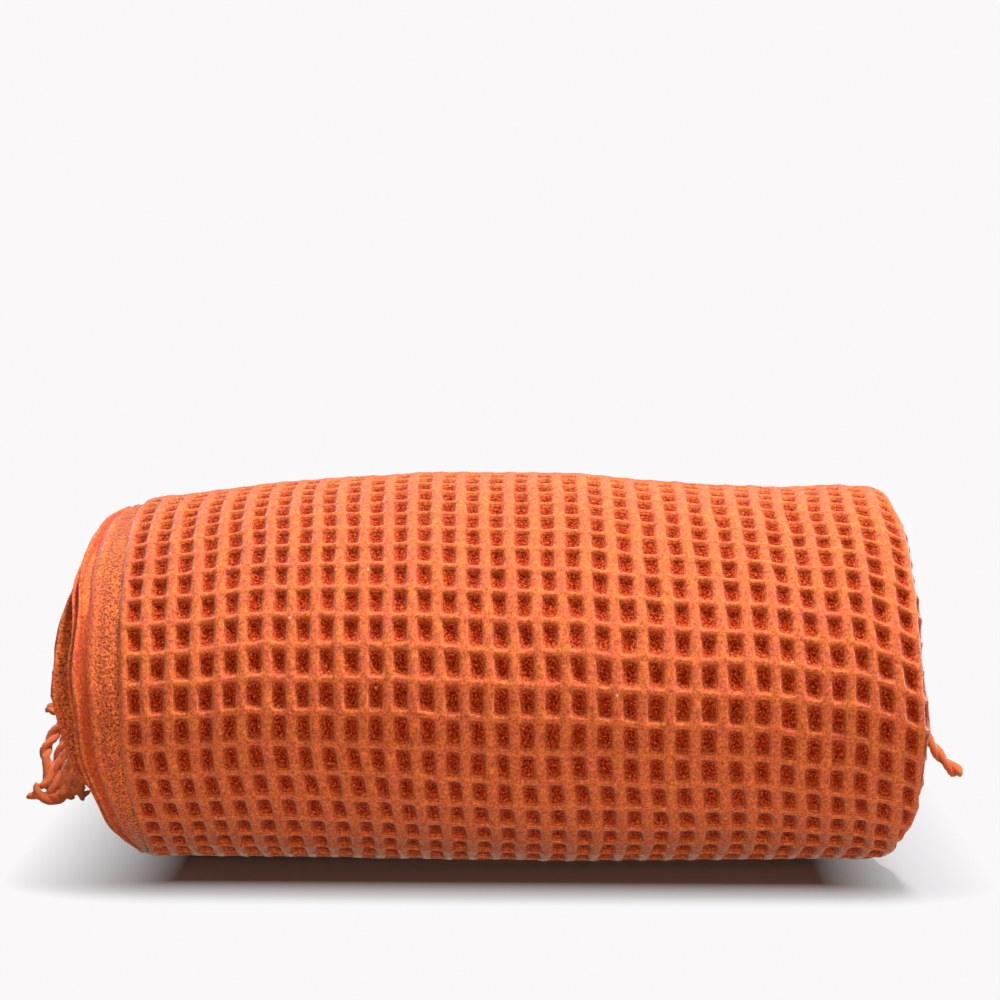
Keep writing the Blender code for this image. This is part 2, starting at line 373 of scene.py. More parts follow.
def build_outer_turn(pit_depth, material):
    """The outermost layer: the hem, the waffle and the outer fold, from the lap once round."""
    rows, lengths, tuck, inset, plain = cloth_rows(JOIN_ROW, ROW_LINES)
    turns_middle = np.interp(lengths, ROW_LENGTHS, ROW_TURNS)
    lean = read_table(COLUMN_LEAN, turns_middle)
    fade = read_table(SKEW_FADE, turns_middle)
    columns = cell_lines(FIRST_COLUMN, LAST_COLUMN, COLUMN_LINES)
    places = read_table(COLUMN_PLACES, columns)
    hem = hem_run(turns_middle, places[0] + lean, 0.0, 0.0, HEM_HALF_THICKNESS)[:-1]
    hem_places = np.array([np.mean(station[0]) for station in hem])
    skew = read_table(ROW_SKEW, np.concatenate([hem_places, places]))[:, None] * fade[None, :]
    turns = np.interp(lengths[None, :] + skew, ROW_LENGTHS, ROW_TURNS)

    column = np.concatenate([[station[4] for station in hem], columns])[:, None] + 0 * turns
    row = rows[None, :] + 0 * turns
    slip = (COLUMN_SLIP[0] * cell_noise(SEED, column, row)
            + COLUMN_SLIP[1] * cell_noise(SEED + 1, column, row, 0.21))
    waffle = np.concatenate([np.zeros(len(hem)), np.ones(len(columns))])[:, None] + 0 * turns
    unrolled = places[:, None] + lean[None, :] + slip[len(hem):]
    fold_start = end_edge(1, turns[len(hem):]) - OUTER_FOLD_RADIUS
    reach, *fold_rest = fold(1, unrolled - fold_start, OUTER_FOLD_RADIUS, 0.0)
    along, depth, lean_along, lean_deep = (
        np.concatenate([np.array([station[item] + 0 * turns_middle for station in hem]), rest])
        for item, rest in enumerate((fold_start + reach, *fold_rest)))

    plain_cells = np.maximum(plain[None, :] + 0 * turns, 1 - waffle) > 0.5
    height = np.where(plain_cells, 1.0, relief_height(column, row))
    relief = np.where(plain_cells, PLAIN_RELIEF, height)
    relief = np.where(column == FIRST_COLUMN, 1.0, relief)
    pit = pit_depth * (1 + PIT_VARIATION * cell_noise(SEED + 2, column, row))
    ends = (np.clip(turns_middle / STEADY_ENDS, 0, 1)
            * np.clip((turns_middle[-1] - turns_middle) / STEADY_ENDS, 0, 1))
    swell = (SWELL[0] * cell_noise(SEED + 3, column, row, 0.9)
             + SWELL[1] * cell_noise(SEED + 4, column, row, 0.17)) * ends[None, :]
    sink = pit * (1 - height) + tuck[None, :] + inset[None, :] * waffle + swell + OUTER_INSET
    around = ROW_SLIP * cell_noise(SEED + 5, column, row) * ends[None, :] * waffle
    turns = turns + around / (2 * pi * LAP_RADIUS)
    points = roll_points(along + lean_along * sink, turns, depth + lean_deep * sink)
    return make_grid("outer_turn", points, column, row, relief, material)


def hidden_run(layer, start, end, lean):
    """Stations of a layer that other layers hide, between its two ends."""
    column, first_depth, last_depth = HIDDEN_RUNS[layer - 1]
    shares = [step / (HIDDEN_STATIONS + 1) for step in range(1, HIDDEN_STATIONS + 1)]
    return [(start + (end - start) * share, first_depth + (last_depth - first_depth) * share,
             0, lean, column) for share in shares]


def fold_run(side, start, columns, start_column, radius, depth):
    """Stations of the weave's lines round a fold that starts at places along the roll."""
    stations = []
    for column in cell_lines(*columns, COLUMN_LINES):
        past = (column - start_column) * FOLD_COLUMN_WIDTH
        reach, fold_depth, lean_along, lean_deep = fold(side, past, radius, depth)
        stations.append((start + reach, fold_depth, lean_along, lean_deep, column))
    return stations


def build_inner_turns(pit_depth, material):
    """All the rest of the folded cloth: the inner layers of the outer turn and every layer of
    the turns inside it. Its ends have the weave's relief, and its hidden runs are plain."""
    rows, lengths, tuck, _, plain = cloth_rows(
        np.interp(WOUND_TURNS, ROW_TURNS, ROW_NUMBERS), INNER_ROW_LINES)
    turns = np.interp(lengths, ROW_LENGTHS, ROW_TURNS)
    ones = np.ones(len(turns))
    left, right = end_edge(-1, turns), end_edge(1, turns)
    right_run = right - RIGHT_RUN_INSET
    left_fold = left - LEFT_FOLD_SLIDE + LEFT_FOLD_RADIUS
    inner_fold = right - INNER_FOLD_BACK
    inner_bend = [(inner_fold + INNER_FOLD_RADIUS * cos(turn),
                   INNER_FOLD_DEPTH - INNER_FOLD_RADIUS - INNER_FOLD_RADIUS * sin(turn),
                   0, -1, INNER_FOLD_COLUMN) for turn in map(radians, (-90, -45, 0, 45, 90))]
    runs = (
        # stations, whether they show the weave's relief
        (hem_run(turns, left + HEM_WIDTH, 0.0, 0.0, HEM_HALF_THICKNESS, INNER_HEM_SHARE), False),
        (hidden_run(1, left + HEM_WIDTH, right_run, 1), False),
        (fold_run(1, right - OUTER_FOLD_RADIUS, (-FIRST_COLUMN, LAST_COLUMN), OUTER_FOLD_COLUMN,
                  OUTER_FOLD_RADIUS, 0.0), True),
        (hidden_run(2, right_run, left_fold + LEFT_RUN_INSETS[0], -1), False),
        (fold_run(-1, left_fold, LEFT_FOLD_COLUMNS, LEFT_FOLD_START, LEFT_FOLD_RADIUS,
                  LEFT_FOLD_DEPTH), True),
        (hidden_run(3, left_fold + LEFT_RUN_INSETS[1], inner_fold, 1), False),
        (inner_bend, False),
        (hidden_run(4, inner_fold, left + LEFT_RUN_INSETS[2], -1), False),
        (hem_run(turns, left + HEM_WIDTH, -read_table(SECOND_HEM_SLIDE, turns),
                 SECOND_HEM_DEPTH, SECOND_HEM_HALF_THICKNESS), False),
    )
    stations = [station for run, _ in runs for station in run]
    woven = np.array([shows for run, shows in runs for _ in run])
    layer_one_end = sum(len(run) for run, _ in runs[:3]) - SHARED_FOLD_LINES

    along, depth, lean_along, lean_deep, column = (
        np.array([station[item] * ones for station in stations]) for item in range(5))
    row = rows[None, :] + 0 * along
    waffle = woven[:, None] & (plain < 0.5)[None, :]
    height = np.where(waffle, relief_height(column, row), 1.0)
    relief = np.where(waffle, height, PLAIN_RELIEF)
    scale = np.where(column >= LEFT_FOLD_COLUMNS[0], LEFT_FOLD_RELIEF, 1.0)
    sink = pit_depth * scale * (1 - height) + tuck[None, :]
    sink = sink + INNER_SWELL * cell_noise(SEED + 6, column, row) + INNER_INSET
    points = roll_points(along + lean_along * sink, turns[None, :] + 0 * along,
                         depth + lean_deep * sink)
    kept = np.ones((points.shape[0] - 1, points.shape[1] - 1), dtype=bool)
    kept[:layer_one_end, :] = rows[:-1] >= JOIN_ROW - 1e-6
    return make_grid("inner_turns", points, column, row, relief, material, kept)


# The twisted tassels of the fringe
TASSEL_SPACING = 0.0155
PLY_RADIUS = 0.0016
PLY_OFFSET = 0.50               # from the cord's middle to a ply's, in radii of a ply
TWIST_LENGTH = 0.0190
FLARE_LENGTH = 0.006            # at the end, where the plies open out and swell
END_SWELL = 0.28
END_TAPER = (
    # from the end, share of the ply's radius
    (0.0, 0.42), (0.0012, 0.86), (0.0030, 1.0),
)
CORD_STEP = 0.0012
CURVE_STEPS = 24
RING_CORNERS = 7
NO_CORD_ALONG = (0.31, 0.87, 0.38)
LAYER_DEPTHS = (0.0020, 0.0052, 0.0080, 0.0104)
CORNER_THICKNESS = 1.18
ROOT_TURNS = 0.004              # the tassels behind the roll come out of the cloth here
ROOT_MARGINS = (0.006, 0.004)   # from the left and the right end of the lap
BACK_LINE = 0.0870              # they fall this far behind the roll's middle
LAYER_SETBACK = 0.0034
GROUND_LIFT = 0.0030

LEFT_CORNER_ROUTES = (
    ((-0.1510, 0.0805, 0.0525), (-0.1680, 0.0800, 0.0500), (-0.1860, 0.0755, 0.0415),
     (-0.1985, 0.0680, 0.0270), (-0.2015, 0.0620, 0.0120), (-0.2020, 0.0580, 0.0032)),
    ((-0.1535, 0.0835, 0.0520), (-0.1740, 0.0820, 0.0520), (-0.1950, 0.0750, 0.0400),
     (-0.2065, 0.0670, 0.0240), (-0.2045, 0.0620, 0.0145), (-0.2065, 0.0590, 0.0060)),
    ((-0.1490, 0.0860, 0.0540), (-0.1700, 0.0850, 0.0520), (-0.1900, 0.0790, 0.0430),
     (-0.2068, 0.0700, 0.0405)),
    ((-0.1500, 0.0840, 0.0530), (-0.1720, 0.0810, 0.0470), (-0.1900, 0.0740, 0.0370),
     (-0.1975, 0.0670, 0.0235), (-0.1970, 0.0610, 0.0110), (-0.1990, 0.0590, 0.0040)),
    ((-0.1470, 0.0820, 0.0520), (-0.1700, 0.0760, 0.0430), (-0.1870, 0.0690, 0.0300),
     (-0.1915, 0.0630, 0.0160), (-0.1900, 0.0590, 0.0060), (-0.1870, 0.0580, 0.0040)),
    ((-0.1480, 0.0780, 0.0515), (-0.1650, 0.0760, 0.0470), (-0.1840, 0.0700, 0.0370),
     (-0.1945, 0.0640, 0.0215), (-0.1950, 0.0600, 0.0085), (-0.1925, 0.0580, 0.0035)),
    ((-0.1450, 0.0830, 0.0520), (-0.1680, 0.0790, 0.0420), (-0.1880, 0.0700, 0.0270),
     (-0.1960, 0.0620, 0.0110), (-0.1990, 0.0580, 0.0032), (-0.2060, 0.0570, 0.0036),
     (-0.2120, 0.0570, 0.0070)),
)
RIGHT_CORNER_ROUTES = (
    ((0.1490, 0.0790, 0.0550), (0.1510, 0.0790, 0.0515), (0.1570, 0.0800, 0.0492),
     (0.1670, 0.0815, 0.0488), (0.1765, 0.0820, 0.0450), (0.1870, 0.0820, 0.0350),
     (0.1950, 0.0810, 0.0245), (0.2010, 0.0800, 0.0165), (0.2085, 0.0790, 0.0100)),
)


def smooth_route(corners):
    """Points a small step apart on a smooth curve through the corners."""
    corners = np.array(corners, dtype=float)
    slope = np.gradient(corners, axis=0)
    fine = []
    for index in range(len(corners) - 1):
        share = np.linspace(0, 1, CURVE_STEPS, endpoint=False)[:, None]
        square, cube = share ** 2, share ** 3
        fine.append(corners[index] * (2 * cube - 3 * square + 1) + slope[index]
                    * (cube - 2 * square + share) + corners[index + 1] * (3 * square - 2 * cube)
                    + slope[index + 1] * (cube - square))
    fine = np.vstack(fine + [corners[-1:]])
    length = np.concatenate([[0], np.cumsum(np.linalg.norm(np.diff(fine, axis=0), axis=1))])
    count = max(int(length[-1] / CORD_STEP), 8)
    even = np.linspace(0, length[-1], count + 1)
    return np.stack([np.interp(even, length, fine[:, axis]) for axis in range(3)], axis=1), even


def twisted_cord(corners, phase, ply_radius, flare):
    """Corners, faces and map of one two-ply cord whose end opens out."""
    route, length = smooth_route(corners)
    ahead = np.gradient(route, axis=0)
    ahead /= np.linalg.norm(ahead, axis=1)[:, None]
    aside = np.cross(ahead, NO_CORD_ALONG)
    aside /= np.linalg.norm(aside, axis=1)[:, None]
    above = np.cross(ahead, aside)
    points, faces, marks = [], [], []
    to_end = length[-1] - length
    opening = np.clip(1 - to_end / FLARE_LENGTH, 0, 1)
    for ply in range(2):
        twist = 2 * pi * length / TWIST_LENGTH + phase + ply * pi
        reach = ply_radius * (PLY_OFFSET + flare * opening ** 1.5)
        outwards = aside * np.cos(twist)[:, None] + above * np.sin(twist)[:, None]
        centre = route + outwards * reach[:, None]
        width = ply_radius * (1 + END_SWELL * opening) * read_table(END_TAPER, to_end)
        base = len(points)
        for step in range(len(route)):
            for corner in range(RING_CORNERS):
                angle = 2 * pi * corner / RING_CORNERS + twist[step]
                points.append(centre[step] + (aside[step] * cos(angle) + above[step] * sin(angle))
                              * width[step])
                marks.append((corner / RING_CORNERS, length[step]))
        for step in range(len(route) - 1):
            for corner in range(RING_CORNERS):
                first = base + step * RING_CORNERS
                following = (corner + 1) % RING_CORNERS
                faces.append((first + corner, first + following,
                              first + RING_CORNERS + following, first + RING_CORNERS + corner))
        for step, order in ((0, -1), (len(route) - 1, 1)):
            ring = list(range(base + step * RING_CORNERS, base + (step + 1) * RING_CORNERS))
            faces.append(tuple(ring[::order]))
    return points, faces, marks


def build_tassels(name, routes, ply_radius, material):
    """One piece of several twisted tassels."""
    points, faces, marks = [], [], []
    for number, (corners, flare) in enumerate(routes):
        thick = ply_radius * (1 + 0.08 * sin(number * 2.4))
        new_points, new_faces, new_marks = twisted_cord(corners, number * 1.7, thick, flare)
        base = len(points)
        points += new_points
        marks += new_marks
        faces += [tuple(base + corner for corner in face) for face in new_faces]
    mesh = bpy.data.meshes.new(name)
    mesh.from_pydata([tuple(point) for point in points], [], faces)
    layer = mesh.uv_layers.new(name="cord_uv")
    corner_points = np.zeros(len(mesh.loops), dtype=int)
    mesh.loops.foreach_get("vertex_index", corner_points)
    layer.data.foreach_set("uv", np.array(marks)[corner_points].ravel())
    return add_piece(mesh, material)


def back_routes():
    """Routes of the tassels behind the roll: down from each layer's end to the ground."""
    random = np.random.default_rng(SEED + 20)
    left = float(end_edge(-1, 0.0)) + ROOT_MARGINS[0]
    right = float(end_edge(1, 0.0)) - ROOT_MARGINS[1]
    routes = []
    for layer, depth in enumerate(LAYER_DEPTHS):
        count = int((right - left) / TASSEL_SPACING)
        for number in range(count):
            share = (number + 0.5 + 0.18 * random.uniform(-1, 1) + 0.25 * (layer - 1.5)) / count
            along = left + (right - left) * min(max(share, 0.0), 1.0)
            root = roll_points(np.array(along), np.array(ROOT_TURNS), np.array(depth))
            back = BACK_LINE - LAYER_SETBACK * layer
            drift = random.uniform(-0.006, 0.006)
            reach = random.uniform(0.010, 0.019) - 0.002 * layer
            lift = GROUND_LIFT + (GROUND_LIFT if number % 2 and layer < 3 else 0.0)
            routes.append(((tuple(root),
                            (along + drift * 0.1, root[1] * 0.35 + back * 0.65, root[2] - 0.011),
                            (along + drift * 0.3, back - 0.001, 0.026),
                            (along + drift * 0.55, back + 0.0005, 0.0120 + lift * 0.5),
                            (along + drift * 0.8, back + 0.0055, 0.0024 + lift),
                            (along + drift, back + 0.0065 + reach, lift)),
                           random.uniform(0.3, 0.8)))
    return routes


# Finishes: scales of the patterns in the yarn
PATCH_SCALE = 190.0             # warm and pink patches
NEP_SCALE = 240.0
FINE_SCALE = 420.0
THREAD_SCALE = 950.0
SPECKLE_SCALE = 1150.0          # open weave
FLOAT_SCALE = 1500.0            # floats on the ridges
# Places on the hem, from the first ridge: where coarse weave starts, starts to fade and ends
COARSE_HEM = (0.0006, 0.0086, 0.0097)
# and where a darker strip along the edge fades in and out
DARK_STRIP = (0.0112, 0.0124, 0.0156, 0.0163)
GLOW_COLOUR = (0.955, 0.940, 0.948, 1.0)


def new_material(name):
    """A new material, its node tree and its shader."""
    material = bpy.data.materials.new(name)
    material.use_nodes = True
    return material, material.node_tree, material.node_tree.nodes["Principled BSDF"]


def set_inputs(node, inputs):
    for key, value in inputs.items():
        node.inputs[key].default_value = value


def add_node(tree, kind, source=None, inputs=None, **settings):
    """A node whose first input comes from a source, where there is one."""
    node = tree.nodes.new(kind)
    for key, value in settings.items():
        setattr(node, key, value)
    set_inputs(node, inputs or {})
    if source is not None:
        tree.links.new(source, node.inputs[0])
    return node


def mix_colours(tree, factor, first, second, blend="MIX"):
    """A colour mix; each of the three is a socket or a plain value."""
    mix = add_node(tree, "ShaderNodeMix", data_type="RGBA", blend_type=blend)
    for index, value in ((0, factor), (6, first), (7, second)):
        socket = mix.inputs[index]
        if isinstance(value, bpy.types.NodeSocket):
            tree.links.new(value, socket)
        else:
            socket.default_value = value
    return mix.outputs[2]


def calculate(tree, operation, first, second=0.0, clamp=False):
    node = add_node(tree, "ShaderNodeMath", operation=operation, use_clamp=clamp)
    for socket, value in zip(node.inputs, (first, second)):
        if isinstance(value, bpy.types.NodeSocket):
            tree.links.new(value, socket)
        else:
            socket.default_value = value
    return node.outputs[0]


def multiply(tree, first, *others):
    for other in others:
        first = calculate(tree, "MULTIPLY", first, other)
    return first


def remap(tree, value, low, high, to_low=0.0, to_high=1.0):
    return add_node(tree, "ShaderNodeMapRange", value, {
        "From Min": low, "From Max": high, "To Min": to_low, "To Max": to_high}).outputs["Result"]


def noise(tree, place, scale, detail, roughness):
    return add_node(tree, "ShaderNodeTexNoise", place, {
        "Scale": scale, "Detail": detail, "Roughness": roughness}).outputs["Fac"]


def shaded(tree, colour, pattern, *levels):
    """A colour times a pattern, between levels that remap takes."""
    return mix_colours(tree, 1.0, colour, remap(tree, pattern, *levels), "MULTIPLY")


def stretched(tree, place, scale):
    return add_node(tree, "ShaderNodeMapping", place, {"Scale": scale}).outputs[0]


def heathered(tree, place, base, warm, pink):
    """Patches of yarn colour: the base, a yellower and a pinker one."""
    ramp = add_node(tree, "ShaderNodeValToRGB", noise(tree, place, PATCH_SCALE, 3.0, 0.6))
    stops = ramp.color_ramp.elements
    stops[0].position, stops[0].color = 0.34, pink
    stops[1].position, stops[1].color = 0.66, warm
    stops.new(0.50).color = base
    return ramp.outputs[0]


def add_flecks(tree, place, colour, fleck):
    """Few pale and yellow neps in the yarn."""
    cells = add_node(tree, "ShaderNodeTexVoronoi", place, {"Scale": NEP_SCALE, "Randomness": 1.0})
    near = remap(tree, cells.outputs["Distance"], 0.06, 0.17, 1.0, 0.0)
    split = add_node(tree, "ShaderNodeSeparateColor", cells.outputs["Color"])
    chosen = calculate(tree, "GREATER_THAN", split.outputs[0], 0.975)
    return mix_colours(tree, multiply(tree, near, chosen, 0.75), colour, fleck)


def finish_cotton(tree, shader, sheen, specular, height, strength, distance):
    """The bump of the threads, and matt fuzz."""
    bump = add_node(tree, "ShaderNodeBump", inputs={"Strength": strength, "Distance": distance})
    tree.links.new(height, bump.inputs["Height"])
    tree.links.new(bump.outputs[0], shader.inputs["Normal"])
    set_inputs(shader, {"Roughness": 0.95, "Sheen Roughness": 0.36, "Sheen Tint": sheen,
                        "Specular IOR Level": specular})


def waffle_material(colours):
    """Heathered waffle cotton: smooth floats on the ridges, open weave in the pits and hem,
    painted shade deep in the pits and painted highlights on the open weave's threads.
    """
    material, tree, shader = new_material("waffle_weave")
    place = add_node(tree, "ShaderNodeTexCoord").outputs["Object"]
    weave_map = add_node(tree, "ShaderNodeUVMap", uv_map="cloth_uv").outputs[0]
    relief = add_node(tree, "ShaderNodeAttribute", attribute_name="relief").outputs["Fac"]
    split = add_node(tree, "ShaderNodeSeparateXYZ", weave_map)
    from_ridge = calculate(tree, "SUBTRACT", FIRST_COLUMN * COLUMN_WIDTH, split.outputs[0])
    in_hem = calculate(tree, "GREATER_THAN", from_ridge, COARSE_HEM[0])
    past_coarse = remap(tree, from_ridge, *COARSE_HEM[1:])
    coarse = calculate(tree, "SUBTRACT", in_hem, past_coarse, clamp=True)
    in_heading = calculate(tree, "LESS_THAN", split.outputs[1],
                           float((FIRST_ROW - 0.15) * ROW_HEIGHT))
    coarse = calculate(tree, "MAXIMUM", coarse, in_heading)
    deep = remap(tree, relief, 0.80, 0.10)
    open_weave = calculate(tree, "MAXIMUM", multiply(tree, coarse, 0.8), deep)
    speckle = noise(tree, stretched(tree, weave_map, (1.0, 0.8, 1.0)), SPECKLE_SCALE, 2.0, 0.6)
    floats = noise(tree, stretched(tree, weave_map, (1.0, 0.22, 1.0)), FLOAT_SCALE, 3.0, 0.65)

    yarn = heathered(tree, place, colours.yarn, colours.warm_yarn, colours.pink_yarn)
    fine = noise(tree, place, FINE_SCALE, 3.0, 0.6)
    yarn = shaded(tree, yarn, fine, 0.3, 0.7, 0.82, 1.14)
    # Painted shade: the deeper a place lies in a pit, the more it takes a darker, redder colour
    yarn = mix_colours(tree, multiply(tree, deep, 0.95), yarn, colours.painted_pit_shade)
    holes = multiply(tree, remap(tree, speckle, 0.52, 0.36), open_weave, 0.95)
    yarn = mix_colours(tree, holes, yarn, colours.gap_shadow)
    # Painted highlight: brighter threads scattered over the open weave
    lit = multiply(tree, remap(tree, speckle, 0.56, 0.70), multiply(tree, open_weave, 0.7))
    yarn = mix_colours(tree, lit, yarn, colours.painted_highlight_yarn)
    yarn = add_flecks(tree, place, yarn, colours.fleck)
    thread = noise(tree, place, THREAD_SCALE, 3.0, 0.7)
    yarn = shaded(tree, yarn, thread, 0.34, 0.66, 0.56, 1.44)

    # The pits' walls go down in steps, thread by thread
    steps = calculate(tree, "ADD", multiply(tree, relief, 22.0), multiply(tree, thread, 4.0))
    steps = calculate(tree, "SINE", steps)
    wall = multiply(tree, remap(tree, relief, 0.04, 0.20), remap(tree, relief, 0.95, 0.80))
    yarn = mix_colours(tree, wall, yarn, shaded(tree, yarn, steps, -1.0, 1.0, 0.70, 1.08))
    # The hem's darker strip along its edge takes part of the pits' colour
    strip = calculate(tree, "SUBTRACT", remap(tree, from_ridge, *DARK_STRIP[:2]),
                      remap(tree, from_ridge, *DARK_STRIP[2:]), clamp=True)
    yarn = mix_colours(tree, multiply(tree, strip, 0.55), yarn, colours.painted_pit_shade)
    tree.links.new(yarn, shader.inputs["Base Color"])

    threads = multiply(tree, floats, calculate(tree, "SUBTRACT", 1.0, open_weave))
    height = calculate(tree, "ADD", threads, multiply(tree, speckle, open_weave, 1.5))
    finish_cotton(tree, shader, colours.sheen, 0.03, height, 0.9, 0.0006)
    tree.links.new(remap(tree, relief, 0.10, 0.90, 0.15, 0.55), shader.inputs["Sheen Weight"])
    return material


def cord_material(colours):
    """Twisted cotton: fine fibres along each ply, a little paler than the cloth."""
    material, tree, shader = new_material("twisted_cord")
    place = add_node(tree, "ShaderNodeTexCoord").outputs["Object"]
    ply_map = add_node(tree, "ShaderNodeUVMap", uv_map="cord_uv").outputs[0]
    fibres = noise(tree, stretched(tree, ply_map, (6.0, 160.0, 1.0)), 1.6, 3.0, 0.65)
    yarn = heathered(tree, place, colours.yarn, colours.warm_yarn, colours.pink_yarn)
    yarn = shaded(tree, yarn, fibres, 0.3, 0.7, 0.72, 1.15)
    tree.links.new(yarn, shader.inputs["Base Color"])
    finish_cotton(tree, shader, colours.sheen, 0.06, fibres, 0.7, 0.0004)
    shader.inputs["Sheen Weight"].default_value = 0.50
    return material


def add_glow(tree, share, under, strength):
    """The paper's own light in place of what is under it, by a share."""
    glow = add_node(tree, "ShaderNodeEmission", None, {"Color": GLOW_COLOUR, "Strength": strength})
    blend = add_node(tree, "ShaderNodeMixShader", share)
    tree.links.new(under.outputs[0], blend.inputs[1])
    tree.links.new(glow.outputs[0], blend.inputs[2])
    tree.links.new(blend.outputs[0], tree.nodes["Material Output"].inputs["Surface"])


def studio_material(floor_colour, backdrop_glow):
    """White paper that is lit from behind where it leaves the object."""
    material, tree, shader = new_material("studio_paper")
    place = add_node(tree, "ShaderNodeTexCoord").outputs["Object"]
    reach = add_node(tree, "ShaderNodeVectorMath", place, operation="LENGTH")
    add_glow(tree, remap(tree, reach.outputs["Value"], 0.40, 1.1), shader, backdrop_glow)
    set_inputs(shader, {"Base Color": floor_colour, "Roughness": 0.6, "Specular IOR Level": 0.2})
    return material


def colour_property(name, description, default):
    return bpy.props.FloatVectorProperty(name=name, description=description, default=default,
                                         size=4, min=0.0, max=1.0, subtype="COLOR")


class WaffleThrowSettings(bpy.types.PropertyGroup):
    """Sizes and yarn colours of the throw, with the colours of its painted pit shade and painted
    highlights.
    """
    pit_depth: bpy.props.FloatProperty(
        name="Pit depth", description="Depth of the waffle's pits under its ridges",
        default=0.0032, min=0.0, max=0.0035, unit="LENGTH")
    ply_radius: bpy.props.FloatProperty(
        name="Ply radius", description="Radius of each of the two plies of a tassel",
        default=PLY_RADIUS, min=0.0005, max=0.002, unit="LENGTH")
    yarn: colour_property("Yarn", "Main colour of the cotton", (0.65, 0.131, 0.038, 1.0))
    warm_yarn: colour_property("Warm yarn", "Colour of the yellower patches",
                               (0.675, 0.156, 0.038, 1.0))
    pink_yarn: colour_property("Pink yarn", "Colour of the pinker patches",
                               (0.65, 0.118, 0.052, 1.0))
    # Painted shade: the colour the pits are darkened towards
    painted_pit_shade: colour_property("Painted pit shade", "Colour of the weave in the pits",
                              (0.35, 0.020, 0.0008, 1.0))
    # Painted highlight on the threads of open weave
    painted_highlight_yarn: colour_property("Painted highlight yarn", "Colour of the threads that stand out of open weave",
                              (0.78, 0.175, 0.040, 1.0))
    gap_shadow: colour_property("Gap shadow", "Colour between the threads of open weave",
                                (0.08, 0.003, 0.0003, 1.0))
    fleck: colour_property("Fleck", "Colour of the neps", (0.90, 0.58, 0.32, 1.0))
    sheen: colour_property("Sheen", "Colour of the fuzz where it catches light",
                           (1.0, 0.86, 0.74, 1.0))


class StudioSettings(bpy.types.PropertyGroup):
    """The studio's paper, lights and camera."""
    floor_colour: colour_property("Floor", "Colour of the paper", (0.275, 0.250, 0.225, 1.0))
    backdrop_glow: bpy.props.FloatProperty(
        name="Backdrop glow", description="How bright the paper is away from the object",
        default=1.0, min=0.0, max=2.0)
    key_power: bpy.props.FloatProperty(
        name="Key light", description="Power of the soft light overhead",
        default=29.4, min=0.0, unit="POWER")
    room_light: bpy.props.FloatProperty(
        name="Room light", description="Strength of the even light from all round",
        default=0.14, min=0.0)
    lens: bpy.props.FloatProperty(
        name="Lens", description="Focal length of the camera on a 36 mm sensor, in millimetres",
        default=76.2, min=10.0)


def own_piece(piece, node):
    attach(piece, "root")
    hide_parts(node)


def find_material(name, make):
    return bpy.data.materials.get(name) or make(bpy.context.scene.waffle_throw)


def add_cloth(build):
    """A piece of the cloth, from the function that builds it."""
    material = find_material("waffle_weave", waffle_material)
    cloth = build(bpy.context.scene.waffle_throw.pit_depth, material)
    own_piece(cloth, "blanket_roll")
    return cloth


class WAFFLE_THROW_OT_fringe(bpy.types.Operator):
    """Add the twisted tassels: those behind the roll and those at its two corners"""
    bl_idname = "waffle_throw.fringe"
    bl_label = "Twisted Fringe"

    def execute(self, context):
        settings = context.scene.waffle_throw
        material = find_material("twisted_cord", cord_material)
        for name, routes in (
                ("fringe_tassels", back_routes()),
                ("left_corner_tassels", [(route, 0.9) for route in LEFT_CORNER_ROUTES]),
                ("right_corner_tassel", [(route, 1.1) for route in RIGHT_CORNER_ROUTES])):
            thick = 1.0 if name == "fringe_tassels" else CORNER_THICKNESS
            tassels = build_tassels(name, routes, settings.ply_radius * thick, material)
            own_piece(tassels, "edge_fringe")
        return {"FINISHED"}


class WAFFLE_THROW_OT_outer_turn(bpy.types.Operator):
    """Add the outer turn of waffle cloth with its hem and its outer fold"""
    bl_idname = "waffle_throw.outer_turn"
    bl_label = "Outer Turn"

    def execute(self, context):
        cloth = add_cloth(build_outer_turn)
        return {"FINISHED"}


class WAFFLE_THROW_OT_inner_turns(bpy.types.Operator):
    """Add the folded inner layers and turns, which show at the roll's two ends"""
    bl_idname = "waffle_throw.inner_turns"
    bl_label = "Inner Turns"

    def execute(self, context):
        cloth = add_cloth(build_inner_turns)
        return {"FINISHED"}


# The paper's shape: radius and height of its rings outside the flat disc
PAPER_DISC = 1.3
PAPER_RINGS = ((1.9, 0.04), (2.3, 0.18), (2.6, 0.50), (2.75, 1.0), (2.8, 2.2))
GLOW_REACH = (
    # middle, half and fade of the patch of paper that stays in shadow, along X and along Y
    (0.0, 0.128, 0.070), (0.035, 0.087, 0.031),
)
GLOW_HEIGHT = 0.0003
PAPER_SIDES = 96
LIGHTS = (
    # name, place, turn in degrees, size, share of the key light's power, tint
    ("overhead_softbox", (0.24, -0.10, 1.25), (4, 11, 0), (0.22, 0.22), 1.0, (0.94, 1.04, 1.22)),
    ("front_fill", (0.32, -1.5, 0.18), (86, 0, 12), (1.2, 0.24), 0.43, (1.0, 0.86, 0.72)),
)
TARGET_HEIGHT = 0.0765
CAMERA_DISTANCE = 0.885
CAMERA_ELEVATION = radians(12)
CAMERA_AZIMUTH = radians(1)
CAMERA_PITCH = radians(-7.51)


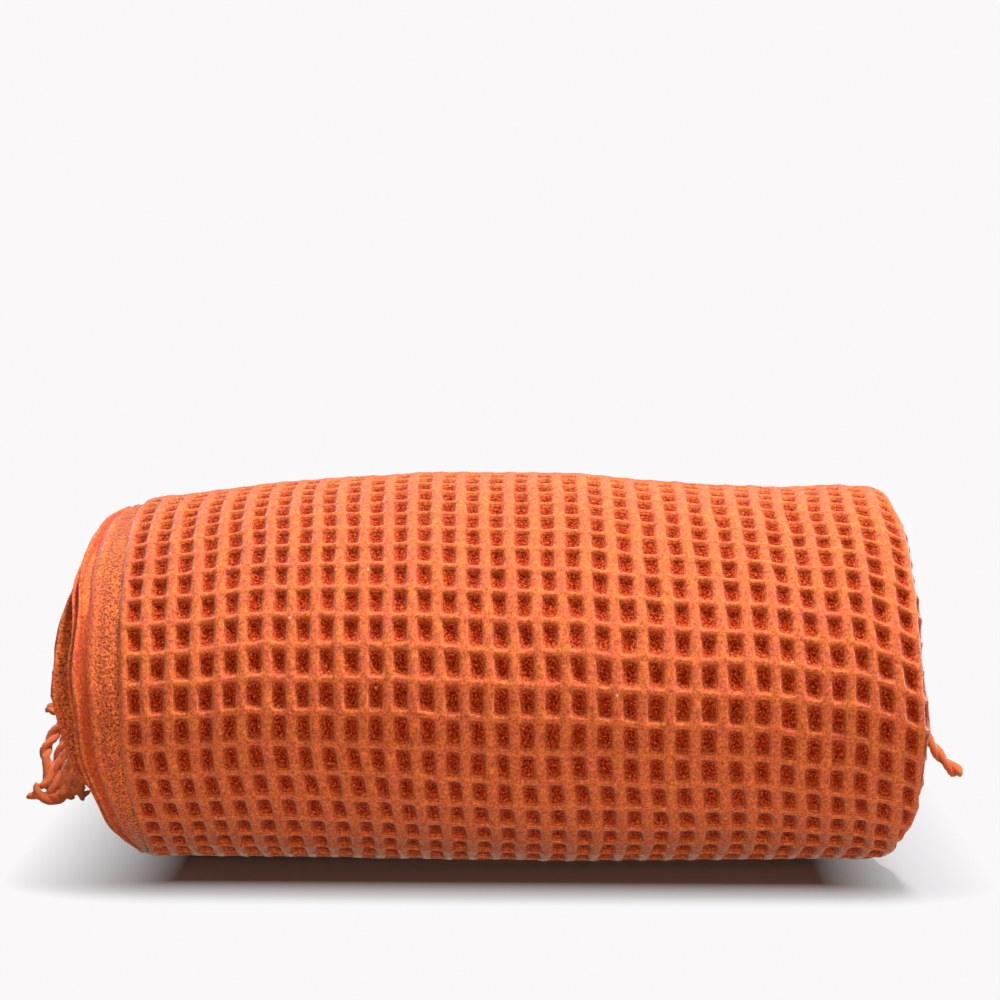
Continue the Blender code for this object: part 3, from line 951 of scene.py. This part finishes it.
def glow_material(backdrop_glow):
    """A painted glow on a sheet just over the paper, which lights nothing and casts no shadow: it
    whitens the paper outside a patch round the object, where the object's own shadow ends.
    """
    material, tree, shader = new_material("studio_glow")
    tree.nodes.remove(shader)
    place = add_node(tree, "ShaderNodeTexCoord").outputs["Object"]
    split = add_node(tree, "ShaderNodeSeparateXYZ", place)
    away = []
    for axis, (middle, half, fade) in enumerate(GLOW_REACH):
        side = calculate(tree, "SUBTRACT", split.outputs[axis], middle)
        side = remap(tree, calculate(tree, "ABSOLUTE", side), half, half + fade)
        away.append(calculate(tree, "POWER", side, 2.0))
    share = calculate(tree, "SQRT", calculate(tree, "ADD", *away, clamp=True))
    add_glow(tree, share, add_node(tree, "ShaderNodeBsdfTransparent"), backdrop_glow)
    return material


def add_circle(name, fill, height=0.0):
    bpy.ops.object.select_all(action="DESELECT")
    bpy.ops.mesh.primitive_circle_add(vertices=PAPER_SIDES, radius=PAPER_DISC, fill_type=fill,
                                      location=(0, 0, height))
    circle = bpy.context.object
    circle.name = name
    return circle


class WAFFLE_THROW_OT_studio(bpy.types.Operator):
    """Add the pale paper, the soft lights and the camera"""
    bl_idname = "waffle_throw.studio"
    bl_label = "Studio"

    def execute(self, context):
        settings = context.scene.waffle_studio
        paper = studio_material(settings.floor_colour, settings.backdrop_glow)
        floor = add_circle("studio_floor", "NGON")
        backdrop = add_circle("studio_backdrop", "NOTHING")
        backdrop.visible_diffuse = False
        bpy.ops.object.mode_set(mode="EDIT")
        bpy.ops.mesh.select_mode(type="EDGE")
        bpy.ops.mesh.select_all(action="SELECT")
        radius, height = PAPER_DISC, 0.0
        for new_radius, new_height in PAPER_RINGS:
            bpy.ops.mesh.extrude_edges_move(
                TRANSFORM_OT_translate={"value": (0, 0, new_height - height)})
            bpy.ops.transform.resize(value=(new_radius / radius, new_radius / radius, 1),
                                     center_override=(0, 0, 0))
            radius, height = new_radius, new_height
        bpy.ops.object.mode_set(mode="OBJECT")
        # A painted glow seen from the camera only, fading the object's shadow on the paper
        glow = add_circle("studio_glow", "NGON", GLOW_HEIGHT)
        glow.visible_diffuse = glow.visible_glossy = glow.visible_shadow = False
        for part, finish in ((floor, paper), (backdrop, paper),
                             (glow, glow_material(settings.backdrop_glow))):
            part.data.shade_smooth()
            part.data.materials.append(finish)

        for name, place, turn, size, share, tint in LIGHTS:
            bpy.ops.object.light_add(type="AREA", location=place,
                                     rotation=[radians(angle) for angle in turn])
            light = context.object
            light.name = name
            light.data.shape = "RECTANGLE"
            light.data.size, light.data.size_y = size
            light.data.energy = settings.key_power * share
            light.data.color = tint
        world = context.scene.world or bpy.data.worlds.new("studio_room")
        context.scene.world = world
        world.use_nodes = True
        background = world.node_tree.nodes["Background"]
        background.inputs[0].default_value = (1.0, 0.995, 1.0, 1.0)
        background.inputs[1].default_value = settings.room_light

        flat_reach = CAMERA_DISTANCE * cos(CAMERA_ELEVATION)
        bpy.ops.object.camera_add(
            location=(flat_reach * sin(CAMERA_AZIMUTH), -flat_reach * cos(CAMERA_AZIMUTH),
                      TARGET_HEIGHT + CAMERA_DISTANCE * sin(CAMERA_ELEVATION)),
            rotation=(pi / 2 + CAMERA_PITCH, 0, CAMERA_AZIMUTH))
        camera = context.object
        camera.data.sensor_width = 36
        camera.data.lens = settings.lens
        context.scene.camera = camera
        context.scene.view_settings.view_transform = "Standard"
        return {"FINISHED"}


class WAFFLE_THROW_PT_panel(bpy.types.Panel):
    """The throw's sizes, colours and pieces"""
    bl_label = "Waffle Throw"
    bl_idname = "WAFFLE_THROW_PT_panel"
    bl_space_type = "VIEW_3D"
    bl_region_type = "UI"
    bl_category = "Waffle throw"

    def draw(self, context):
        layout = self.layout
        for settings, group in ((context.scene.waffle_throw, WaffleThrowSettings),
                                (context.scene.waffle_studio, StudioSettings)):
            box = layout.box()
            for name in group.__annotations__:
                box.prop(settings, name)
        for operator in OPERATORS:
            layout.operator(operator.bl_idname)


OPERATORS = (WAFFLE_THROW_OT_studio, WAFFLE_THROW_OT_fringe, WAFFLE_THROW_OT_inner_turns,
             WAFFLE_THROW_OT_outer_turn)
CLASSES = (WaffleThrowSettings, StudioSettings) + OPERATORS + (WAFFLE_THROW_PT_panel,)


def register():
    for each in CLASSES:
        bpy.utils.register_class(each)
    bpy.types.Scene.waffle_throw = bpy.props.PointerProperty(type=WaffleThrowSettings)
    bpy.types.Scene.waffle_studio = bpy.props.PointerProperty(type=StudioSettings)


def unregister():
    del bpy.types.Scene.waffle_studio
    del bpy.types.Scene.waffle_throw
    for each in reversed(CLASSES):
        bpy.utils.unregister_class(each)


def main():
    register()
    bpy.ops.waffle_throw.studio()
    bpy.ops.waffle_throw.fringe()
    bpy.ops.waffle_throw.inner_turns()
    bpy.ops.waffle_throw.outer_turn()


if __name__ == "__main__":
    main()
